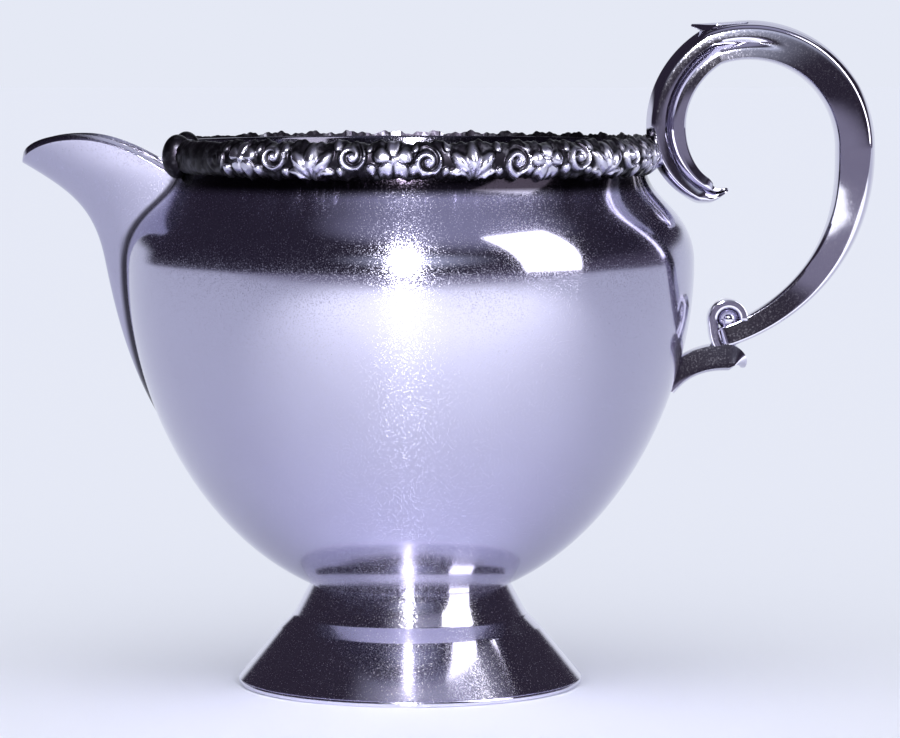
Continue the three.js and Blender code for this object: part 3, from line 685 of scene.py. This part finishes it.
def scrollRelief(across, up, hand):
    # a coiled stem that ends in a small eye
    up -= border["scrollRise"]
    radius, angle = math.hypot(across, up), math.atan2(up, across * hand)
    strand = (radius / border["scrollPitch"] - angle / math.tau) % 1 - 0.5
    ridge = max(1 - (strand * 2.5) ** 2, 0) * (1 - ease(radius, border["scroll"] - 0.5, border["scroll"]))
    eye = math.sqrt(max(1 - (radius / border["scrollEye"]) ** 2, 0))
    return max(ridge * border["scrollHeight"], eye)


def beadRelief(across, up, size):
    return size * math.sqrt(max(1 - (across * across + up * up) / (size * size), 0))


random.seed(11)  # small random differences, so that no two motifs are alike
wander = [[random.uniform(-1, 1) for number in range(6)] for motif in range(12)]


def motifRelief(angle, up):
    # relief from 0 to 1 at an angle from the spout in degrees and a height from the border's middle in mm,
    # where one and two hold the random differences of this blossom and of this side of it
    length = math.radians(1) * (bowl["collarRadius"] + border["bulge"])
    nearest = round((angle - border["first"]) / border["pitch"])
    along = (angle - border["first"] - nearest * border["pitch"]) * length
    half = border["pitch"] * length / 2
    hand = math.copysign(1, along)
    one = wander[nearest * 2 % len(wander)]
    two = wander[(nearest * 2 + int(hand)) % len(wander)]
    best = 0
    if abs(along) < 4:
        grow = 1 + 0.14 * one[0]
        best = blossomRelief((along - 0.5 * one[1]) * grow, (up - 0.4 * one[2]) * grow)
    if abs(along) > half - 5.5:
        lean = 0.16 * two[0] * hand * up
        best = max(best, fanRelief(abs(along) - half + lean, up - 0.3 * two[1]))
    best = max(best, scrollRelief(abs(along) - half * (0.47 + 0.05 * two[2]), up - 0.5 * two[3], hand))
    for run, rise, size in beads:
        best = max(best, beadRelief(abs(along) - half * (run + 0.03 * two[4]), up - rise - 0.3 * one[5],
                                    border["bead"] * size))
    plain = 1 - ease(angle, border["first"] - 9, border["first"] - 4)  # the plain end next to the spout
    return best * (1 - border["plain"] * plain), plain


def ragged(angle):
    # how far the leaf tips stand out past the roll's edges
    long = 0.28 * math.sin(angle * 0.61)
    short = 0.22 * math.sin(angle * 1.37 + 1)
    return 0.5 + long + short + 0.12 * math.sin(angle * 3.1)


def borderHalf(name, node, side):
    bm = bmesh.new()
    bmesh.ops.create_grid(bm, x_segments=border["along"], y_segments=border["around"], size=0.5)
    oxide_and_painted_shade = bm.verts.layers.float.new("oxide_and_painted_shade")
    for vert in bm.verts:
        share, around = vert.co.x + 0.5, vert.co.y + 0.5
        angle = mix(border["start"], border["end"], share)
        turn = mix(-math.pi / 2, math.pi / 2, min(around / border["face"], 1))
        lift = math.sin(turn)
        up = lift * border["height"] / 2
        height, plain = motifRelief(angle, up)
        out = border["bulge"] * math.cos(turn) + height * border["relief"] * (0.35 + 0.65 * math.cos(turn))
        past = border["overhang"] * ragged(angle if lift > 0 else angle * 1.3 + 40) * (1 - plain * 0.7)
        up += math.copysign(past * abs(lift) ** 3, lift)
        if around > (border["face"] + 1) / 2:
            out, up = -border["back"], 0  # the roll's back lies in the bowl's wall
        point = onAxis(bowl["collarRadius"] + out, border["middle"] + up, math.radians(angle))
        point.y *= side
        vert.co = point
        # oxide fills the low ground; the plain end and the upper edge are darkened more, as painted dark
        # reflection
        vert[oxide_and_painted_shade] = min(max(1.25 - height * 1.6, 0) + 0.35 * plain + 0.45 * ease(lift, -0.1, 0.7), 1)
    knob = bmesh.ops.create_uvsphere(bm, u_segments=36, v_segments=24, radius=0.5)["verts"]
    bmesh.ops.scale(bm, vec=Vector(border["knob"]) * mm, verts=knob)
    start = math.radians(border["start"])
    quarter = Matrix.Rotation(side * (start - math.pi / 2), 3, "Z")
    bmesh.ops.rotate(bm, cent=(0, 0, 0), matrix=quarter, verts=knob)
    seat = onAxis(bowl["collarRadius"] + border["bulge"] / 2, border["middle"], start)
    bmesh.ops.translate(bm, vec=(seat.x, seat.y * side, seat.z), verts=knob)
    # the knob takes the full dark colour all over
    for vert in knob:
        vert[oxide_and_painted_shade] = 1.0
    bmesh.ops.remove_doubles(bm, verts=bm.verts, dist=1e-6)
    makePiece(bm, name, relief, node, crease=60)


borderHalf("border_front", "rim_border_front", 1)
borderHalf("border_back", "rim_border_back", -1)
print("border cast")

# The plain pale table top, sealed and matt: an even lavender white that keeps a soft shadow.
# The silver mirrors a painted pool of light on it in front of the jug, a glow that only reflections see.
# Sizes in metres.
table = {"colour": "#EDF0FA", "roughness": 0.6, "size": 6.0, "front": 0.62}
paintedPool = {"colour": "#F6F8F4", "right": 0.07, "ahead": 0.41, "width": 0.5, "depth": 0.42, "core": 0.42,
        "strength": 1.3}
matt, tree = newMaterial("painted_table_top_matt_with_painted_light_pool")
place = addNode(tree, "ShaderNodeTexCoord").outputs["Object"]
stretch = (1 / paintedPool["width"], 1 / paintedPool["depth"], 0)
shift = (-(axisX + paintedPool["right"]) * stretch[0], paintedPool["ahead"] * stretch[1], 0)
onPool = addNode(tree, "ShaderNodeVectorMath", {"operation": "MULTIPLY_ADD"}, {1: stretch, 2: shift},
                 {0: place})
fromPool = addNode(tree, "ShaderNodeVectorMath", {"operation": "LENGTH"},
                   links={0: onPool.outputs["Vector"]})
# the painted pool of light: a glow on the table top that only glossy rays see
paintedGlow = addNode(tree, "ShaderNodeMapRange", {"interpolation_type": "SMOOTHSTEP"},
              {"From Min": 1.0, "From Max": paintedPool["core"], "To Max": paintedPool["strength"]},
              {"Value": fromPool.outputs["Value"]})
tableRays = addNode(tree, "ShaderNodeLightPath")
paintedGlowInMirrors = addNode(tree, "ShaderNodeMath", {"operation": "MULTIPLY"},
                links={0: paintedGlow.outputs["Result"], 1: tableRays.outputs["Is Glossy Ray"]})
shader = addNode(tree, "ShaderNodeBsdfPrincipled",
                 values={"Base Color": linear(table["colour"]), "Roughness": table["roughness"],
                         "Specular IOR Level": 0.0, "Emission Color": linear(paintedPool["colour"])},
                 links={"Emission Strength": paintedGlowInMirrors.outputs["Value"]})
addNode(tree, "ShaderNodeOutputMaterial", links={"Surface": shader.outputs["BSDF"]})
bm = bmesh.new()
bmesh.ops.create_grid(bm, x_segments=1, y_segments=1, size=table["size"])
bmesh.ops.translate(bm, vec=(0, table["size"] - table["front"], 0), verts=bm.verts)
floorMesh = bpy.data.meshes.new("table_top")
bm.to_mesh(floorMesh)
bm.free()
floorMesh.materials.append(matt)
floor = bpy.data.objects.new("table_top", floorMesh)
scene.collection.objects.link(floor)

# The room: pale to the eye and soft on the table. In the silver it is dim, with a glow overhead and on the
# right, a halo round the small lamp and pale light behind the jug.
room = {"pale": "#E5E9F5", "soft": "#F7F8FB", "dark": "#302A38", "ceiling": "#A9A9C0", "side": "#5E5768",
        "halo": "#DDE4F4", "farFloor": "#8E8A9E"}
overheadGlow = {"towards": (0.2, -0.3, 0.933), "from": 0.74, "full": 1.0}
# parts of the room by their direction along one axis, each with where it starts and where it is full
bands = {"right": ("X", 0.2, 0.9), "low": ("Z", 0.32, 0.05), "below": ("Z", 0.03, -0.03),
         "back": ("Y", 0.55, 0.75), "backLow": ("Z", 0.19, 0.08)}
# rounded patches: a direction is stretched and shifted, and its length runs from the core to 1 at the edge
patches = {"halo": {"stretch": (1.6, 0.8, 4.6), "shift": (-0.06, 0.76, -1.5), "core": 0.0},
           "backHigh": {"stretch": (2.4, 3.6, 3.4), "shift": (-0.38, -2.54, -2.21), "core": 0.7},
           "backRise": {"stretch": (3.33, 5.0, 3.33), "shift": (-0.47, -4.6, -0.87), "core": 0.7}}
world = bpy.data.worlds.new("room")
scene.world = world
world.use_nodes = True
tree = world.node_tree
tree.nodes.clear()
way = addNode(tree, "ShaderNodeTexCoord").outputs["Generated"]
parts = addNode(tree, "ShaderNodeSeparateXYZ", links={"Vector": way})
glows = {}
for name, (axis, start, full) in bands.items():
    band = addNode(tree, "ShaderNodeMapRange", {"interpolation_type": "SMOOTHSTEP"},
                   {"From Min": start, "From Max": full}, {"Value": parts.outputs[axis]})
    glows[name] = band.outputs["Result"]
for name, patch in patches.items():
    spot = addNode(tree, "ShaderNodeVectorMath", {"operation": "MULTIPLY_ADD"},
                   {1: patch["stretch"], 2: patch["shift"]}, {0: way})
    fromSpot = addNode(tree, "ShaderNodeVectorMath", {"operation": "LENGTH"},
                       links={0: spot.outputs["Vector"]})
    fade = addNode(tree, "ShaderNodeMapRange", {"interpolation_type": "SMOOTHSTEP"},
                   {"From Min": 1.0, "From Max": patch["core"]}, {"Value": fromSpot.outputs["Value"]})
    glows[name] = fade.outputs["Result"]
upward = addNode(tree, "ShaderNodeVectorMath", {"operation": "DOT_PRODUCT"}, {1: overheadGlow["towards"]},
                 {0: way})
overhead = addNode(tree, "ShaderNodeMapRange", {"interpolation_type": "SMOOTHSTEP"},
                   {"From Min": overheadGlow["from"], "From Max": overheadGlow["full"]},
                   {"Value": upward.outputs["Value"]})
rightLow = addNode(tree, "ShaderNodeMath", {"operation": "MULTIPLY"},
                   links={0: glows["right"], 1: glows["low"]})
backWall = addNode(tree, "ShaderNodeMath", {"operation": "MULTIPLY"},
                   links={0: glows["back"], 1: glows["backLow"]})
backUpper = addNode(tree, "ShaderNodeMath", {"operation": "MAXIMUM"},
                    links={0: glows["backHigh"], 1: glows["backRise"]})
backLight = addNode(tree, "ShaderNodeMath", {"operation": "MAXIMUM"},
                    links={0: backWall.outputs["Value"], 1: backUpper.outputs["Value"]})
dim = addNode(tree, "ShaderNodeMix", {"data_type": "RGBA"},
              {"A": linear(room["dark"]), "B": linear(room["side"])},
              {"Factor": rightLow.outputs["Value"]})
for colour, cover in (("ceiling", overhead.outputs["Result"]), ("farFloor", glows["below"]),
                      ("halo", glows["halo"]), ("pale", backLight.outputs["Value"])):
    dim = addNode(tree, "ShaderNodeMix", {"data_type": "RGBA"}, {"B": linear(room[colour])},
                  {"Factor": cover, "A": dim.outputs["Result"]})
roomRays = addNode(tree, "ShaderNodeLightPath")
mirrored = addNode(tree, "ShaderNodeMix", {"data_type": "RGBA"}, {"A": linear(room["soft"])},
                   {"Factor": roomRays.outputs["Is Glossy Ray"], "B": dim.outputs["Result"]})
seen = addNode(tree, "ShaderNodeMix", {"data_type": "RGBA"}, {"B": linear(room["pale"])},
               {"Factor": roomRays.outputs["Is Camera Ray"], "A": mirrored.outputs["Result"]})
backdrop = addNode(tree, "ShaderNodeBackground", links={"Color": seen.outputs["Result"]})
addNode(tree, "ShaderNodeOutputWorld", links={"Surface": backdrop.outputs["Background"]})

# Lamps, placed by their turn from the front towards the handle and their height, in degrees and metres.
lamps = {"small_lamp": {"turn": -2, "height": 19, "distance": 0.9, "width": 0.085, "tall": 0.085,
                        "watts": 40.0},
         "window": {"turn": 58, "height": 28, "distance": 1.0, "width": 0.49, "tall": 0.97, "watts": 6.8}}
target = Vector((axisX, 0, bowlFloor + bowl["bellyLine"] * mm))
for name, lamp in lamps.items():
    turn, height = math.radians(lamp["turn"]), math.radians(lamp["height"])
    level = math.cos(height)
    away = Vector((math.sin(turn) * level, -math.cos(turn) * level, math.sin(height)))
    light = bpy.data.lights.new(name, "AREA")
    light.shape = "RECTANGLE"
    light.size = lamp["width"]
    light.size_y = lamp["tall"]
    light.energy = lamp["watts"]
    holder = bpy.data.objects.new(name, light)
    holder.location = target + away * lamp["distance"]
    holder.rotation_euler = away.to_track_quat("Z", "Y").to_euler()
    holder.visible_camera = False
    holder.visible_diffuse = False
    scene.collection.objects.link(holder)

# The camera stands a little above the rim and looks slightly down, in mm and degrees.
eye = {"reach": 650.0, "height": 102.0, "yaw": 0.57, "pitch": 4.491, "focalPixels": 4023.2,
       "imageWidth": 900}
camera = bpy.data.objects.new("camera", bpy.data.cameras.new("camera"))
scene.collection.objects.link(camera)
camera.location = (axisX, -eye["reach"] * mm, eye["height"] * mm)
camera.rotation_euler = (math.radians(90 - eye["pitch"]), 0, math.radians(-eye["yaw"]))
camera.data.sensor_width = 36
camera.data.lens = camera.data.sensor_width * eye["focalPixels"] / eye["imageWidth"]
scene.camera = camera
scene.view_settings.view_transform = "Standard"
print("stage set")
